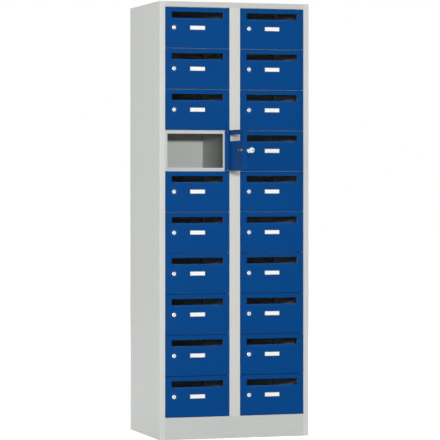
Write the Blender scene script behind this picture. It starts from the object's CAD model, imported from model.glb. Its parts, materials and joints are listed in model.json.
"""Looks of a sheet steel mail cabinet with twenty letter boxes, built round its CAD frame.

Metres, +X right, +Y to the back, +Z up, origin on the floor below the middle of the cabinet.
"""
import json
import math

import bmesh
import bpy
import numpy as np
from mathutils import Matrix, Vector

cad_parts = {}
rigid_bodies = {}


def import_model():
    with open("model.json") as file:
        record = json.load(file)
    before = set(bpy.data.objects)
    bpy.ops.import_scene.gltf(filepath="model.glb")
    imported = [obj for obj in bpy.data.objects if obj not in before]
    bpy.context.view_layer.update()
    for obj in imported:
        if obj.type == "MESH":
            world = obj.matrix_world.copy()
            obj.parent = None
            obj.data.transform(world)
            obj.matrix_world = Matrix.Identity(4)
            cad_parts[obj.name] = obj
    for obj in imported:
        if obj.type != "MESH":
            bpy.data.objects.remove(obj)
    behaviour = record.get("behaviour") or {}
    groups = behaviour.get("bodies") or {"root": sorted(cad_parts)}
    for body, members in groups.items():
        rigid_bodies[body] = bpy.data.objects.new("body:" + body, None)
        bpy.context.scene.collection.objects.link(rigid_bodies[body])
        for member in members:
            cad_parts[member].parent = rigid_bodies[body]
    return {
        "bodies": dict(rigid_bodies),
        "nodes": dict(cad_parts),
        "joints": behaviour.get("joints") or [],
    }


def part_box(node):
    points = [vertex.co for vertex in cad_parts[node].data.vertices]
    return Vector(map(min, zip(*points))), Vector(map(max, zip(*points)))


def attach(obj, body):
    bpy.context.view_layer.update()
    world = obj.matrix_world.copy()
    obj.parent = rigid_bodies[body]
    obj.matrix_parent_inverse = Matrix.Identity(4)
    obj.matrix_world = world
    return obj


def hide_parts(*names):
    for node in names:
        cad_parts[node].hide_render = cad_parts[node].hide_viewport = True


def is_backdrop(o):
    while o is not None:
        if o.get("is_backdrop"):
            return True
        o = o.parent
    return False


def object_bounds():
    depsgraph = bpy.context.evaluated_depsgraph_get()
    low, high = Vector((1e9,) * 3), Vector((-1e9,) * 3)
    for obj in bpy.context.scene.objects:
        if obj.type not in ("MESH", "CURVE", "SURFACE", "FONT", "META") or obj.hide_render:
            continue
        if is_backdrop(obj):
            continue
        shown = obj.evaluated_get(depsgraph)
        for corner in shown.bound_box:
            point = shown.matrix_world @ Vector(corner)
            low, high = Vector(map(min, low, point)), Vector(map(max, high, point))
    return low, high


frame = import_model()
cad_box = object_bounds()

# Camera. It stands level, to the left of the cabinet and near the middle of its height, with a
# long lens, and its frame is shifted down so that the plinth stays in view.
camera_place = (-3.2371, -10.3993, 1.1549)
camera_turn = math.radians(17.33)
frame_px = 440
focal_px = 2379.15
horizon_px = 180.12
camera = bpy.data.cameras.new("camera")
camera.lens = focal_px / frame_px * camera.sensor_width
camera.shift_y = (horizon_px - frame_px / 2) / frame_px
camera_object = bpy.data.objects.new("camera", camera)
camera_object.location = camera_place
camera_object.rotation_euler = (math.pi / 2, 0, -camera_turn)
bpy.context.scene.collection.objects.link(camera_object)
bpy.context.scene.camera = camera_object
bpy.context.scene.view_settings.view_transform = "Standard"


# Studio. A room with a dim even light, a wide low softbox beside the camera, and one softbox each
# for the two sides and the back. The room looks white to the camera and in reflections.
class Field:
    """One output of a shader tree. Arithmetic on it adds Math nodes to the same tree."""

    def __init__(self, finish, socket):
        self.finish = finish
        self.socket = socket

    def math(self, operation, *terms):
        return self.finish.node("Math", {"operation": operation}, dict(enumerate(terms)))

    def __add__(self, other):
        return self.math("ADD", self, other)

    def __sub__(self, other):
        return self.math("SUBTRACT", self, other)

    def __rsub__(self, other):
        return self.math("SUBTRACT", other, self)

    def __mul__(self, other):
        return self.math("MULTIPLY", self, other)

    def __abs__(self):
        return self.math("ABSOLUTE", self)

    __radd__ = __add__
    __rmul__ = __mul__


class Finish:
    """The emptied shader tree of a material or a world, to which node() adds nodes."""

    def __init__(self, owner):
        owner.use_nodes = True
        self.owner = owner
        self.tree = owner.node_tree
        self.tree.nodes.clear()

    def node(self, kind, settings=None, sockets=None, output=0):
        """Adds a node, makes its settings, fills or joins its sockets and gives one output."""
        made = self.tree.nodes.new("ShaderNode" + kind)
        for name, value in (settings or {}).items():
            setattr(made, name, value)
        for name, value in (sockets or {}).items():
            if isinstance(value, Field):
                self.tree.links.new(value.socket, made.inputs[name])
            else:
                made.inputs[name].default_value = value
        return Field(self, made.outputs[output]) if len(made.outputs) else None

    def blend(self, share, first, second):
        """The first colour where share is 0, and the second where it is 1."""
        return self.node("Mix", {"data_type": "RGBA"}, {0: share, 6: first, 7: second}, output=2)

    def rise(self, value, start, end):
        """A smooth step from 0 at the start value to 1 at the end value."""
        sockets = {"Value": value, "From Min": start, "From Max": end}
        return self.node("MapRange", {"interpolation_type": "SMOOTHSTEP"}, sockets)

    def noise(self, place, size, detail=2.0, stretch=(1, 1, 1)):
        """Soft noise from 0 to 1 with spots of a size in metres, stretched along the axes."""
        scale = tuple(1 / (size * share) for share in stretch)
        spots = self.node("VectorMath", {"operation": "MULTIPLY"}, {0: place, 1: scale})
        return self.node("TexNoise", sockets={"Vector": spots, "Scale": 1.0, "Detail": detail})

    def surface(self, sockets):
        """Ends the tree in a Principled shader with these sockets and gives the material."""
        shader = self.node("BsdfPrincipled", sockets=sockets)
        self.node("OutputMaterial", sockets={"Surface": shader})
        return self.owner


def seen_directly(finish):
    """1 for rays from the camera, from a gloss and through glass, and 0 for all others."""
    rays = ("Is Camera Ray", "Is Glossy Ray", "Is Transmission Ray")
    return sum(finish.node("LightPath", output=ray) for ray in rays)


room_light = 0.2
world = bpy.data.worlds.new("studio")
bpy.context.scene.world = world
studio = Finish(world)
brightness = seen_directly(studio) * (1 - room_light) + room_light
room = studio.node("Background", sockets={"Color": (1, 1, 1, 1), "Strength": brightness})
studio.node("OutputWorld", sockets={"Surface": room})


def softbox(name, place, aim, size, power):
    """A rectangular lamp of (width, height) size at place that faces aim."""
    lamp = bpy.data.lights.new(name, "AREA")
    lamp.shape = "RECTANGLE"
    lamp.size, lamp.size_y = size
    lamp.energy = power
    lamp_object = bpy.data.objects.new(name, lamp)
    lamp_object.location = place
    backwards = Vector(place) - Vector(aim)
    lamp_object.rotation_euler = backwards.to_track_quat("Z", "Y").to_euler()
    lamp_object.visible_camera = False
    bpy.context.scene.collection.objects.link(lamp_object)


cabinet_middle = (0, 0, 1.1)
softbox("front_softbox", (-2.0, -10.5, 1.95), cabinet_middle, size=(1.6, 0.3), power=750)
softbox("left_softbox", (-6.0, -1.6, 2.0), cabinet_middle, size=(2.0, 2.5), power=160)
softbox("right_softbox", (6.0, 1.4, 2.4), cabinet_middle, size=(2.0, 2.5), power=170)
softbox("back_softbox", (0.5, 6.0, 5.0), cabinet_middle, size=(3.0, 2.5), power=330)

# Floor. A plain pale studio floor, lifted to white for the camera, that keeps the shadow.
floor_half = 40.0
floor_colour = (0.5, 0.5, 0.5, 1)
floor_lift = 0.95
floor_mesh = bpy.data.meshes.new("floor")
floor_corners = np.array([(-1, -1, 0), (1, -1, 0), (1, 1, 0), (-1, 1, 0)]) * floor_half
floor_mesh.from_pydata(floor_corners.tolist(), [], [(0, 1, 2, 3)])
floor = bpy.data.objects.new("floor", floor_mesh)
bpy.context.scene.collection.objects.link(floor)
floor_finish = Finish(bpy.data.materials.new("studio_floor"))
matt = floor_finish.node("BsdfDiffuse", sockets={"Color": floor_colour})
lift = floor_finish.node("Emission", sockets={"Strength": seen_directly(floor_finish) * floor_lift})
both = floor_finish.node("AddShader", sockets={0: matt, 1: lift})
floor_finish.node("OutputMaterial", sockets={"Surface": both})
floor_mesh.materials.append(floor_finish.owner)
floor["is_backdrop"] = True

# Side sheets. Each is one 1 mm steel sheet, folded in at the front to make the stile and at the
# back to make the flange that the back panel is spot welded to. They are powder coated light grey
# and a little scuffed near the floor.
side_grey = (0.575, 0.592, 0.570)
grey_gloss = 0.3
coat_roughness = 0.42
coat_spread = 0.1
peel_size = 0.0025
peel_height = 0.00002
mottle_size = 0.2
mottle_share = 0.02
worn_share = 0.12
worn_roughness = 0.2
scuff_top = 0.16
scuff_size = 0.012
scuff_stretch = (8, 8, 0.5)
scuff_share = (0.55, 0.75)
weld_x = 0.3425
weld_y = 0.247
weld_pitch = 0.1
weld_radius = 0.003
weld_depth = 0.00015
weld_wear = 0.3


def powder_coat(name, colour, gloss, marks):
    """Powder coat: even colour with slow mottling, an orange peel and a soft gloss.

    marks(finish, place) gives where the coat is worn, from 0 to 1, and a height in metres.
    A worn place is paler and duller.
    """
    finish = Finish(bpy.data.materials.new(name))
    place = finish.node("TexCoord", output="Object")
    mottle = finish.noise(place, mottle_size, detail=3.0)
    peel = finish.noise(place, peel_size)
    worn, height = marks(finish, place)
    deep = (*(channel * (1 - mottle_share) for channel in colour), 1)
    pale = (*(channel * (1 + mottle_share) for channel in colour), 1)
    rubbed = (*(channel + (1 - channel) * worn_share for channel in colour), 1)
    tint = finish.blend(worn, finish.blend(mottle, deep, pale), rubbed)
    bump = finish.node("Bump", sockets={"Height": peel * peel_height + height, "Distance": 1.0})
    return finish.surface({
        "Base Color": tint,
        "Roughness": coat_roughness + (mottle - 0.5) * coat_spread + worn * worn_roughness,
        "Specular IOR Level": gloss,
        "Normal": bump,
    })


def floor_scuffs(finish, place):
    """Level streaks that fade out above the floor, with no height of their own."""
    height = finish.node("SeparateXYZ", sockets={0: place}, output="Z")
    streaks = finish.noise(place, scuff_size, detail=4.0, stretch=scuff_stretch)
    return finish.rise(streaks, *scuff_share) * finish.rise(height, scuff_top, 0.0), 0.0


def spot_welds(finish, place):
    """A dimple at each weld: a smooth step of the distance to the nearest weld's centre."""
    across, along, up = (
        finish.node("SeparateXYZ", sockets={0: place}, output=axis) for axis in "XYZ"
    )
    from_row = abs(abs(across) - weld_x)
    from_weld = up.math("PINGPONG", up, weld_pitch / 2)
    distance = from_row.math("SQRT", from_row * from_row + from_weld * from_weld)
    at_back = finish.rise(along, weld_y - weld_radius, weld_y)
    dimple = finish.rise(distance, weld_radius, weld_radius / 2) * at_back
    return dimple * weld_wear, dimple * -weld_depth


def side_marks(finish, place):
    """The scuffs above the floor, and the dimples of the welds in the rear flange."""
    scuffed, _ = floor_scuffs(finish, place)
    dented, height = spot_welds(finish, place)
    return scuffed + dented, height


def dress(material, *names):
    """Gives CAD nodes their finish."""
    for name in names:
        for slot in frame["nodes"][name].material_slots:
            slot.material = material


dress(powder_coat("side_coat", side_grey, grey_gloss, side_marks), "left_side", "right_side")

# Back panel. One flat sheet, spot welded to the flanges of the side sheets in a row of shallow
# round dimples down each edge.
inner_grey = (0.486, 0.502, 0.484)
dress(powder_coat("welded_coat", inner_grey, grey_gloss, spot_welds), "back_panel")

# Roof and base floor. Flat 1 mm sheets, welded on top of the sides and on the plinth.
carcass_coat = powder_coat("carcass_coat", side_grey, grey_gloss, floor_scuffs)
dress(carcass_coat, "roof", "base_floor")

# Shelves and centre partition. Folded 1 mm sheets, powder coated like the back panel and rubbed in
# use, in patches of streaks from front to back.
rub_size = 0.004
rub_stretch = (1, 40, 1)
rub_share = (0.6, 0.75)
rub_patch_size = 0.15
rub_patch_share = (0.45, 0.7)
rub_wear = 0.6


def slide_rubs(finish, place):
    """Fine streaks in patches that run from front to back, with no height of their own."""
    streaks = finish.noise(place, rub_size, detail=3.0, stretch=rub_stretch)
    patches = finish.noise(place, rub_patch_size)
    rubbed = finish.rise(streaks, *rub_share) * finish.rise(patches, *rub_patch_share)
    return rubbed * rub_wear, 0.0


rubbed_coat = powder_coat("rubbed_coat", inner_grey, grey_gloss, slide_rubs)
dress(rubbed_coat, "shelves_left", "shelves_right", "centre_partition")

# Plinth, rails, post and channels. The front frame, folded from 1.2 mm steel and welded, with the
# door stops behind the doorway and a kick plate flush with the front. The coat of the plinth and
# of the two rails is a shade darker than the sides.
plinth_grey = (0.518, 0.533, 0.513)
plinth_coat = powder_coat("plinth_coat", plinth_grey, grey_gloss, floor_scuffs)
dress(plinth_coat, "plinth", "bottom_rail", "top_rail")
dress(carcass_coat, "centre_post", "left_frame_channel", "right_frame_channel")
dress(carcass_coat, "cross_rails_left", "cross_rails_right")

# Hinge lugs and pivot pins. Zinc plated steel: a lug is welded into each gap between two doors
# and a pin through it reaches into both.
zinc_tint = ((0.15, 0.165, 0.185, 1), (0.22, 0.235, 0.255, 1))
zinc_grain = 0.0016
zinc_roughness = 0.34
plate_spread = 0.2
cloud_grains = 8


def plated(name, tint, grain, roughness):
    """Plated metal: two tints and a roughness that change with a fine grain."""
    finish = Finish(bpy.data.materials.new(name))
    place = finish.node("TexCoord", output="Object")
    crystals = finish.noise(place, grain, detail=3.0)
    cloud = finish.noise(place, grain * cloud_grains)
    return finish.surface({
        "Base Color": finish.blend(crystals, *tint),
        "Metallic": 1.0,
        "Roughness": roughness + (cloud - 0.5) * plate_spread,
    })


zinc = plated("zinc_plate", zinc_tint, zinc_grain, zinc_roughness)
dress(zinc, "hinge_lugs", "hinge_pins_left", "hinge_pins_right")

# Door leaves. Each is 1 mm steel, pressed into a shallow pan with flanges all round and a letter
# slot near its top, drilled for the lock and the pivot pins, and powder coated blue.
leaf_depth = 0.018
leaf_thickness = 0.001
fold_radius = 0.0016
corner_radius = 0.0022
edge_radius = 0.00025
holding_strip = 0.0006
slot_size = np.array([0.240, 0.027])
slot_radius = 0.003
slot_drop = 0.0205
pin_hole_radius = 0.00205
lock_hole_radius = 0.0081
leaf_blue = (0.0008, 0.055, 0.220)
leaf_gloss = 0.04
hand_grain = 0.003
hand_stretch = (3, 3, 1)
hand_share = (0.45, 0.75)
hand_wear = 0.35
ring_radii = (0.024, 0.010)
band_fade = (-0.012, 0.0)
band_end = (0.004, 0.001)
band_side = 0.03
corner_steps = 6
fold_steps = 5
fold_angle = math.radians(32)
merge_distance = 1e-7


def joints_of(motion):
    """The frame's joints whose name ends in a motion, by the tag of the door they belong to."""
    ending = [joint for joint in frame["joints"] if joint["name"].endswith(motion)]
    return {joint["child"][-3:]: joint for joint in ending}


hinges = joints_of("hinge")
turns = joints_of("turn")
door_low, door_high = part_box("door_L01")
hinge = Vector(hinges["L01"]["pos_m"])
face_y = frame["nodes"]["left_side"].bound_box[0][1] - hinge.y
leaf_size = np.array([door_high.x - door_low.x, door_high.z - door_low.z])
leaf_middle = np.array([(door_high.x + door_low.x) / 2 - hinge.x, 0.0])
slot_middle = leaf_middle + [0, leaf_size[1] / 2 - slot_drop - slot_size[1] / 2]
lock_x = turns["L01"]["pos_m"][0] - hinge.x
lock_middle = np.array([lock_x, 0.0])


def rounded_loop(size, radius, steps=corner_steps):
    """The (x, z) outline of a rounded rectangle of (width, height) size.

    Each corner is a quarter circle: its centre plus the corner's radius times the cosine and
    sine of the turn. The radius is one for all corners, or four, from the upper right one on.
    """
    radius = np.broadcast_to(radius, 4)[:, None, None]
    quarter = np.arange(4)[:, None] * np.pi / 2
    turn = quarter + np.linspace(0, np.pi / 2, steps + 1)
    signs = np.array([(1, 1), (-1, 1), (-1, -1), (1, -1)])[:, None, :]
    centre = signs * (np.asarray(size) / 2 - radius)
    return (centre + radius * np.stack([np.cos(turn), np.sin(turn)], axis=-1)).reshape(-1, 2)


def carried(outline, profile):
    """Carries a profile round an outline: a row of points for each (offset, depth) pair.

    outline(offset) gives the row's (x, z) points, and the depth is their y.
    """
    return np.stack([np.insert(outline(offset), 1, depth, axis=1) for offset, depth in profile])


def arc(centre, radius, start, end, steps=fold_steps):
    """(offset, depth) pairs on a circle round a centre, between two turns in degrees."""
    turn = np.radians(np.linspace(start, end, steps + 1))
    return [*zip(centre[0] + radius * np.cos(turn), centre[1] + radius * np.sin(turn))]


def shell(rows, ring=False):
    """A closed mesh over a grid of points, with its normals outwards and its folds sharp.

    Each point is joined to the next one in its row and to its like in the next row. A row runs
    round to its start. With ring, the last row is joined to the first, and otherwise one face
    closes each end.
    """
    index = np.arange(rows.shape[0] * rows.shape[1]).reshape(rows.shape[:2])
    ends = [] if ring else [index[0].tolist(), index[-1].tolist()]
    if ring:
        index = np.vstack([index, index[:1]])
    following = np.roll(index, -1, axis=1)
    quads = np.stack([index[:-1], following[:-1], following[1:], index[1:]], axis=-1)
    mesh = bpy.data.meshes.new("shell")
    mesh.from_pydata(rows.reshape(-1, 3).tolist(), [], quads.reshape(-1, 4).tolist() + ends)
    return smoothed(mesh)


def smoothed(mesh):
    """The mesh with outward normals, smooth but for edges that turn more than the fold angle."""
    surface = bmesh.new()
    surface.from_mesh(mesh)
    bmesh.ops.remove_doubles(surface, verts=surface.verts, dist=merge_distance)
    bmesh.ops.recalc_face_normals(surface, faces=surface.faces)
    surface.to_mesh(mesh)
    surface.free()
    mesh.shade_smooth()
    mesh.set_sharp_from_angle(angle=fold_angle)
    return mesh


def circle_loop(radius, middle=(0.0, 0.0), steps=corner_steps):
    """The (x, z) outline of a circle, with as many points as a rounded rectangle."""
    count = 4 * (steps + 1)
    turn = (np.arange(count) + 0.5) * 2 * np.pi / count
    return np.asarray(middle) + radius * np.stack([np.cos(turn), np.sin(turn)], axis=1)


def combined(mesh, operation, *tools):
    """The mesh after an exact Boolean with each tool mesh."""
    blank = bpy.data.objects.new("blank", mesh)
    scraps = [blank]
    bpy.context.scene.collection.objects.link(blank)
    for tool in tools:
        scraps.append(bpy.data.objects.new("tool", tool))
        bpy.context.scene.collection.objects.link(scraps[-1])
        step = blank.modifiers.new("step", "BOOLEAN")
        step.operation = operation
        step.solver = "EXACT"
        step.object = scraps[-1]
    bpy.context.view_layer.update()
    graph = bpy.context.evaluated_depsgraph_get()
    done = bpy.data.meshes.new_from_object(blank.evaluated_get(graph))
    for scrap in scraps:
        bpy.data.objects.remove(scrap)
    return smoothed(done)


def leaf_outline(inset):
    """The leaf's outline, moved inwards by the inset, in the door's own frame."""
    radius = max(corner_radius - inset, edge_radius)
    return leaf_middle + rounded_loop(leaf_size - 2 * inset, radius)


def slot_outline(outset):
    """The slot's outline, moved outwards by the outset."""
    return slot_middle + rounded_loop(slot_size + 2 * outset, slot_radius + outset)


def pressed_leaf():
    """The pan's section carried round the leaf and joined to the slot's rim on both faces."""
    back = face_y + leaf_thickness
    edge_y = face_y + leaf_depth
    inner_radius = fold_radius - leaf_thickness
    fold = (fold_radius, face_y + fold_radius)
    strip_edge = fold_radius + holding_strip
    outside = [(0, edge_y), *arc(fold, fold_radius, 180, 270), (strip_edge, face_y)]
    inside = [(strip_edge, back), *arc(fold, inner_radius, 270, 180), (leaf_thickness, edge_y)]
    rim = [
        (holding_strip, face_y), (edge_radius, face_y), (0, face_y + edge_radius),
        (0, back - edge_radius), (edge_radius, back), (holding_strip, back),
    ]
    rows = [
        carried(leaf_outline, outside), carried(slot_outline, rim), carried(leaf_outline, inside),
    ]
    return shell(np.concatenate(rows), ring=True)


def drill(radius, middle, ends):
    """A plain round tool along Y between two ends."""
    return shell(carried(lambda offset: circle_loop(offset, middle), [(radius, y) for y in ends]))


def door_marks(finish, place):
    """Where the leaf is rubbed in use: a ring round the lock and a band under the slot."""
    spot = finish.node("UVMap", {"uv_map": "door_map"})
    across, up = (finish.node("SeparateXYZ", sockets={0: spot}, output=axis) for axis in "XY")
    from_lock = finish.node(
        "VectorMath", {"operation": "DISTANCE"}, {0: spot, 1: (*lock_middle, 0)}, output="Value"
    )
    grain = finish.noise(place, hand_grain, detail=4.0, stretch=hand_stretch)
    ring = finish.rise(from_lock, *ring_radii)
    slot_half = slot_size / 2
    slot_foot = slot_middle[1] - slot_half[1]
    band = finish.rise(up, *(slot_foot + np.array(band_fade)))
    band = band * finish.rise(up, *(slot_foot + np.array(band_end)))
    beside = finish.rise(abs(across - slot_middle[0]), slot_half[0], slot_half[0] - band_side)
    worn = (ring + band * beside) * finish.rise(grain, *hand_share)
    return worn * hand_wear, 0.0


def hang(name, template, material, joint, body=None, stands_for=None):
    """Puts a copy of a piece, made in the door's own frame, on one door at rest.

    It rides on the door or on the given body, and it has the given slot. Where it stands for a
    CAD node, it replaces that node.
    """
    closed = math.radians(joint["range_deg"][0])
    mesh = template.copy()
    mesh.transform(Matrix.Translation(joint["pos_m"]) @ Matrix.Rotation(-closed, 4, "Z"))
    mesh.materials.clear()
    mesh.materials.append(material)
    piece = bpy.data.objects.new(name, mesh)
    bpy.context.scene.collection.objects.link(piece)
    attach(piece, body or joint["child"])
    if stands_for:
        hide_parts(stands_for)


door_coat = powder_coat("door_coat", leaf_blue, leaf_gloss, door_marks)
pivot_drill = drill(pin_hole_radius, (0, 0), (-leaf_size[1], leaf_size[1]))
pivot_drill.transform(Matrix.Rotation(math.pi / 2, 4, "X"))
drilled = (face_y - leaf_thickness, face_y + 2 * leaf_thickness)
lock_drill = drill(lock_hole_radius, lock_middle, drilled)
leaf = combined(pressed_leaf(), "DIFFERENCE", pivot_drill, lock_drill)
corners = np.zeros(len(leaf.loops), dtype=int)
leaf.loops.foreach_get("vertex_index", corners)
points = np.zeros(len(leaf.vertices) * 3)
leaf.vertices.foreach_get("co", points)
door_map = leaf.uv_layers.new(name="door_map")
door_map.data.foreach_set("uv", points.reshape(-1, 3)[corners][:, [0, 2]].ravel())
for tag, joint in hinges.items():
    hang(f"door_leaf_{tag}", leaf, door_coat, joint, stands_for=f"door_{tag}")

# Lock housings and nuts. A threaded zinc barrel, with a round nickel plated bezel at its front, is
# pushed through the leaf, and a hexagonal nut clamps it from behind.
seat_gap = 0.00005
bezel_radius = 0.009
bezel_height = 0.0025
bezel_round = 0.0008
bore_radius = 0.00555
barrel_radius = 0.008
barrel_length = 0.020
thread_start = 0.0014
thread_run_out = 0.0004
thread_pitch = 0.001
thread_depth = 0.0003
thread_rows = 6
nut_flats = 0.021
nut_bore = 0.0081
nut_height = 0.004
turned_steps = 8
nickel_tint = ((0.56, 0.60, 0.62, 1), (0.68, 0.72, 0.74, 1))
nickel_grain = 0.0008
nickel_roughness = 0.22


def turned(profile):
    """Turns (radius, depth) pairs about the lock's axis."""
    return carried(lambda radius: circle_loop(radius, lock_middle, turned_steps), profile)


def threaded(rows, start, end):
    """Cuts a screw thread into turned rows between two depths.

    The cut is the thread's depth times a cosine wave of the depth in pitches less the turn.
    """
    from_axis = rows - [lock_x, 0, 0]
    share = np.arange(rows.shape[1]) / rows.shape[1]
    wave = 0.5 - 0.5 * np.cos(2 * np.pi * (rows[..., 1] / thread_pitch - share))
    inside = (rows[..., 1] > start) & (rows[..., 1] < end)
    radius = np.hypot(from_axis[..., 0], from_axis[..., 2])
    narrowed = 1 - thread_depth * wave * inside / radius
    shares = np.stack([narrowed, np.ones_like(narrowed), narrowed], axis=-1)
    return from_axis * shares + [lock_x, 0, 0]


def nut(flats, bore, start, height):
    """A hexagonal nut with its corners bevelled, from the start depth backwards.

    Its radius is the apothem over the cosine of the turn from the nearest flat's middle, and no
    more than the bevel's circle.
    """
    count = 4 * (turned_steps + 1) * 2
    turn = np.arange(count) * 2 * np.pi / count
    sixth = np.pi / 3
    hexagon = flats / 2 / np.cos(turn % sixth - sixth / 2)
    corner = hexagon.max()
    bevel = corner - flats / 2

    def outline(limit):
        radius = np.minimum(hexagon, limit) if limit > bore else np.full(count, bore)
        return lock_middle + radius[:, None] * np.stack([np.cos(turn), np.sin(turn)], axis=1)

    end = start + height
    profile = [
        (bore, start), (flats / 2, start), (corner, start + bevel / 2),
        (corner, end - bevel / 2), (flats / 2, end), (bore, end),
    ]
    return shell(carried(outline, profile), ring=True)


thread_end = barrel_length - thread_run_out
thread_depths = np.arange(thread_start, thread_end, thread_pitch / thread_rows) + face_y
bezel_front_y = face_y - bezel_height
bezel_corner = (bezel_radius - bezel_round, bezel_front_y + bezel_round)
bezel_profile = [
    (bore_radius, bezel_front_y + edge_radius),
    (bore_radius + edge_radius, bezel_front_y),
    *arc(bezel_corner, bezel_round, 270, 360),
    (bezel_radius, face_y - seat_gap),
    (bore_radius, face_y - seat_gap),
]
bezel = shell(turned(bezel_profile), ring=True)
barrel_profile = [
    (bore_radius, face_y - seat_gap),
    (barrel_radius, face_y - seat_gap),
    *((barrel_radius, depth) for depth in thread_depths),
    (barrel_radius - thread_depth, face_y + barrel_length),
    (bore_radius, face_y + barrel_length),
]
barrel = shell(threaded(turned(barrel_profile), thread_depths[1], thread_depths[-1]), ring=True)
housing_nut = nut(nut_flats, nut_bore, face_y + leaf_thickness + seat_gap, nut_height)
nickel = plated("nickel_plate", nickel_tint, nickel_grain, nickel_roughness)
for tag, joint in hinges.items():
    hang(f"lock_bezel_{tag}", bezel, nickel, joint)
    hang(f"lock_barrel_{tag}", barrel, zinc, joint)
    hang(f"housing_nut_{tag}", housing_nut, zinc, joint)

# Plugs, cams and cam nuts. The plug turns in the barrel, has a keyway in front, and carries the
# cam of blued steel on a stud behind, held by a small nut.
plug_radius = 0.0055
plug_proud = 0.0004
keyway_size = np.array([0.0024, 0.0074])
keyway_depth = 0.0172
keyway_round = 0.0003
stud_radius = 0.003
stud_bore = 0.00305
stud_proud = 0.001
cam_gap = 0.0013
cam_thickness = 0.002
cam_width = 0.014
cam_reach = 0.033
cam_end_radius = 0.0015
cam_nut_flats = 0.010
cam_nut_height = 0.003
blued_tint = ((0.008, 0.036, 0.105, 1), (0.013, 0.050, 0.140, 1))
blued_grain = 0.0012
blued_roughness = 0.40
stop_back_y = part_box("centre_post")[1].y - hinge.y
cam_y = stop_back_y + cam_gap
plug_face_y = bezel_front_y - plug_proud


def keyway_outline(outset):
    """The keyway's outline, moved outwards by the outset."""
    return lock_middle + rounded_loop(keyway_size + 2 * outset, keyway_round + outset, turned_steps)


def cam_outline(inset):
    """The cam's outline: a round head about the stud and a tail that hangs down from it."""
    size = np.array([cam_width, cam_width / 2 + cam_reach])
    middle = lock_middle + [0, (cam_width / 2 - cam_reach) / 2]
    radius = np.array([cam_width / 2, cam_width / 2, cam_end_radius, cam_end_radius]) - inset
    return middle + rounded_loop(size - 2 * inset, radius, turned_steps)


keyway_profile = [
    (0, plug_face_y + keyway_depth),
    (0, plug_face_y + edge_radius),
    (edge_radius, plug_face_y),
]
cam_nut_y = cam_y + cam_thickness + seat_gap
stud_end_y = cam_nut_y + cam_nut_height + stud_proud
plug_profile = [
    (plug_radius - edge_radius, plug_face_y),
    (plug_radius, plug_face_y + edge_radius),
    (plug_radius, cam_y - seat_gap),
    (stud_radius, cam_y - seat_gap),
    (stud_radius, stud_end_y - edge_radius),
    (stud_radius - edge_radius, stud_end_y),
]
plug = shell(np.concatenate([carried(keyway_outline, keyway_profile), turned(plug_profile)]))
cam_back_y = cam_y + cam_thickness
cam_profile = [
    (edge_radius, cam_y),
    (0, cam_y + edge_radius),
    (0, cam_back_y - edge_radius),
    (edge_radius, cam_back_y),
]
cam_hole = [(stud_bore, cam_back_y), (stud_bore, cam_y)]
cam = shell(np.concatenate([carried(cam_outline, cam_profile), turned(cam_hole)]), ring=True)
blued_steel = plated("blued_steel", blued_tint, blued_grain, blued_roughness)
cam_nut = nut(cam_nut_flats, stud_bore, cam_nut_y, cam_nut_height)
for tag, joint in hinges.items():
    body = f"lock_{tag}"
    hang(f"lock_plug_{tag}", plug, nickel, joint, body, stands_for=body)
    hang(f"lock_cam_{tag}", cam, blued_steel, joint, body)
    hang(f"cam_nut_{tag}", cam_nut, zinc, joint, body)

# Label holders and cards. A dark blue plastic holder with a raised rim is stuck on the middle of
# each door and holds a plain white card.
holder_size = np.array([0.074, 0.023])
holder_thickness = 0.0016
holder_corner = 0.0015
rim_width = 0.003
card_sunk = 0.0005
card_thickness = 0.0004
card_clearance = 0.0001
plastic_tint = ((0.004, 0.045, 0.13, 1), (0.006, 0.055, 0.16, 1))
card_tint = ((0.84, 0.84, 0.83, 1), (0.90, 0.90, 0.89, 1))
sheet_spread = 0.1
holder_front_y = face_y - seat_gap - holder_thickness
card_y = holder_front_y + card_sunk


def holder_outline(inset):
    """The holder's outline, moved inwards by the inset."""
    radius = max(holder_corner - inset, edge_radius)
    return leaf_middle + rounded_loop(holder_size - 2 * inset, radius)


def matt_sheet(name, tint, grain, bump_height, roughness, gloss):
    """A matt material: two tints and a height that change with a fine grain."""
    finish = Finish(bpy.data.materials.new(name))
    place = finish.node("TexCoord", output="Object")
    fibres = finish.noise(place, grain, detail=4.0)
    bump = finish.node("Bump", sockets={"Height": fibres * bump_height, "Distance": 1.0})
    return finish.surface({
        "Base Color": finish.blend(fibres, *tint),
        "Roughness": roughness + (fibres - 0.5) * sheet_spread,
        "Specular IOR Level": gloss,
        "Normal": bump,
    })


holder_profile = [
    (rim_width, card_y + card_thickness + seat_gap),
    (rim_width, holder_front_y + edge_radius),
    (rim_width - edge_radius, holder_front_y),
    (edge_radius, holder_front_y),
    (0, holder_front_y + edge_radius),
    (0, face_y - seat_gap),
]
card_inset = rim_width + card_clearance
card_profile = [(card_inset, card_y), (card_inset, card_y + card_thickness)]
holder = shell(carried(holder_outline, holder_profile))
card = shell(carried(holder_outline, card_profile))
plastic = matt_sheet(
    "blue_plastic", plastic_tint, grain=0.0008, bump_height=0.000006, roughness=0.35, gloss=0.4
)
paper = matt_sheet(
    "white_card", card_tint, grain=0.0005, bump_height=0.000012, roughness=0.7, gloss=0.3
)
for tag, joint in hinges.items():
    hang(f"label_holder_{tag}", holder, plastic, joint)
    hang(f"label_card_{tag}", card, paper, joint)

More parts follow.
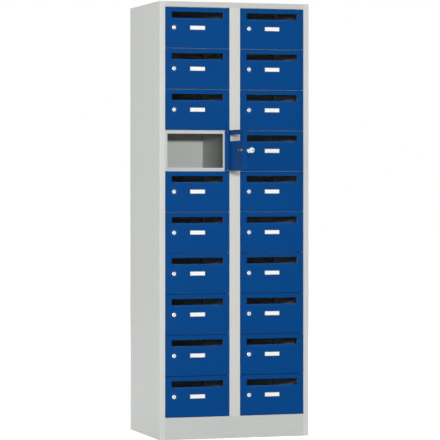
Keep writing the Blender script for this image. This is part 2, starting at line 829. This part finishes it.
# Key. It is cut from 2 mm nickel plated brass, with a round bow on the outside of the open door
# and a notched blade in the plug.
key_thickness = 0.002
bow_radius = 0.012
bow_out = 0.0335
bow_hole_radius = 0.003
bow_hole_edge = 0.003
blade_height = 0.007
blade_reach = 0.017
key_round = 0.0003
notch_depths = np.array([0, 0, 0.0012, 0.0004, 0.0018, 0.0009, 0.0015, 0.0005, 0.0026])
blade_rows = 49
bow_centre = np.array([bow_out - face_y, 0.0])
bow_hole = bow_centre + [bow_radius - bow_hole_edge - bow_hole_radius, 0]
bow_face = key_thickness / 2


def bow_outline(inset):
    """The bow's round outline, moved inwards by the inset."""
    return circle_loop(bow_radius - inset, bow_centre, turned_steps)


def bow_hole_outline(outset):
    """The hole near the bow's outer edge, moved outwards by the outset."""
    return circle_loop(bow_hole_radius + outset, bow_hole, turned_steps)


def notched_blade():
    """A rounded bar whose upper edge is lowered by notches.

    The notch depths stand at even steps along the bar, with straight lines between them.
    """
    out = np.linspace(bow_centre[0] - bow_radius / 2, -(plug_face_y + blade_reach), blade_rows)
    steps = np.arange(len(notch_depths))
    notches = np.interp(np.linspace(0, steps[-1], blade_rows), steps, notch_depths)[:, None]
    section = rounded_loop((key_thickness, 1.0), key_round)
    up = section[:, 1] * (blade_height - notches) - notches / 2
    return shell(np.stack(np.broadcast_arrays(out[:, None], section[:, 0], up), axis=-1))


edge_profile = [
    (key_round, -bow_face),
    (0, key_round - bow_face),
    (0, bow_face - key_round),
    (key_round, bow_face),
]
bow_rows = [carried(bow_outline, edge_profile), carried(bow_hole_outline, edge_profile[::-1])]
key = combined(shell(np.concatenate(bow_rows), ring=True), "UNION", notched_blade())
key.transform(Matrix.Translation((lock_x, 0, 0)) @ Matrix.Rotation(-math.pi / 2, 4, "Z"))
key_body = next(name for name in frame["bodies"] if name.startswith("key_"))
key_tag = key_body[-3:]
key_name = f"{key_body}_blade_and_bow"
hang(key_name, key, nickel, hinges[key_tag], key_body, stands_for=key_body)

visual_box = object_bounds()
({name: [list(corner) for corner in box] for name, box in
           (("cad", cad_box), ("visual", visual_box))})
